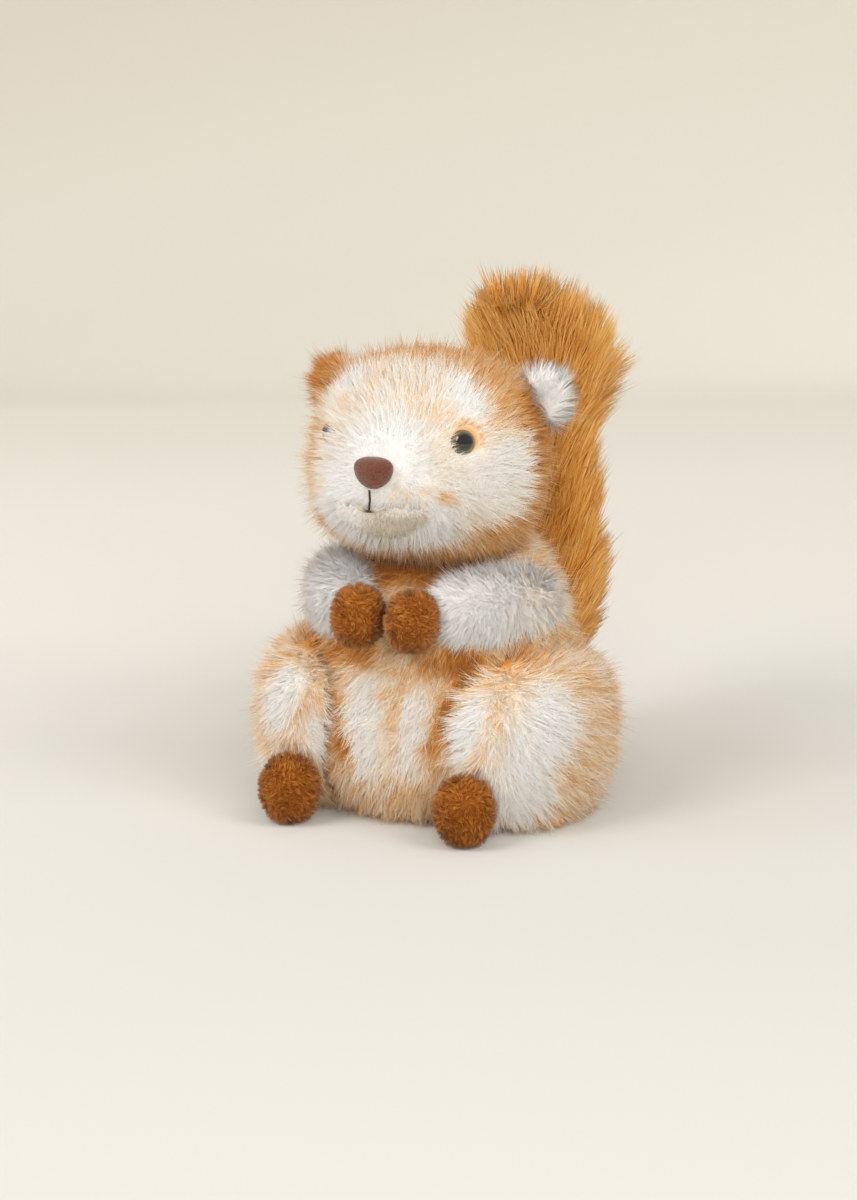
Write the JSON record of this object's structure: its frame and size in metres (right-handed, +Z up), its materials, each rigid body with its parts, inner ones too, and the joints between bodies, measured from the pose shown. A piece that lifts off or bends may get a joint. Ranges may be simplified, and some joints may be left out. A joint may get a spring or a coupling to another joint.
{
  "type": "plush squirrel",
  "caption": "Sitting plush squirrel with an upright brush tail, round ears, button eyes and forepaws held together; rests on its flat underside.",
  "frame": {"origin": "on the floor, in the middle of the flat underside that the squirrel sits on", "axes": "+Z up, the squirrel faces -Y, and its own left side is +X"},
  "size_m": [0.1374, 0.1824, 0.1987],
  "materials": {
    "striped_pile": "long pile plush, white to orange",
    "white_pile": "long pile plush, white",
    "caramel_pile": "short pile plush, caramel",
    "foot_pile": "short pile plush, brown",
    "brush_pile": "very long pile plush, caramel",
    "cream_panel": "short smooth pile, cream",
    "nose_suede": "brushed suede, reddish brown",
    "brown_thread": "embroidery thread, dark brown",
    "eye_dark": "clear gloss over dark brown",
    "washer_white": "natural moulded"
  },
  "bodies": {
    "root": {"torso": "striped_pile", "head": "striped_pile", "left_ear": "white_pile", "right_ear": "white_pile", "chin_patch": "cream_panel", "left_arm": "white_pile", "right_arm": "white_pile", "left_paw": "caramel_pile", "right_paw": "caramel_pile", "left_leg": "white_pile", "right_leg": "white_pile", "left_foot": "foot_pile", "right_foot": "foot_pile", "tail": "brush_pile", "nose": "nose_suede", "mouth_stitch": "brown_thread", "left_eye": "eye_dark", "right_eye": "eye_dark", "left_eye_washer": "washer_white", "right_eye_washer": "washer_white"}
  },
  "joints": []
}
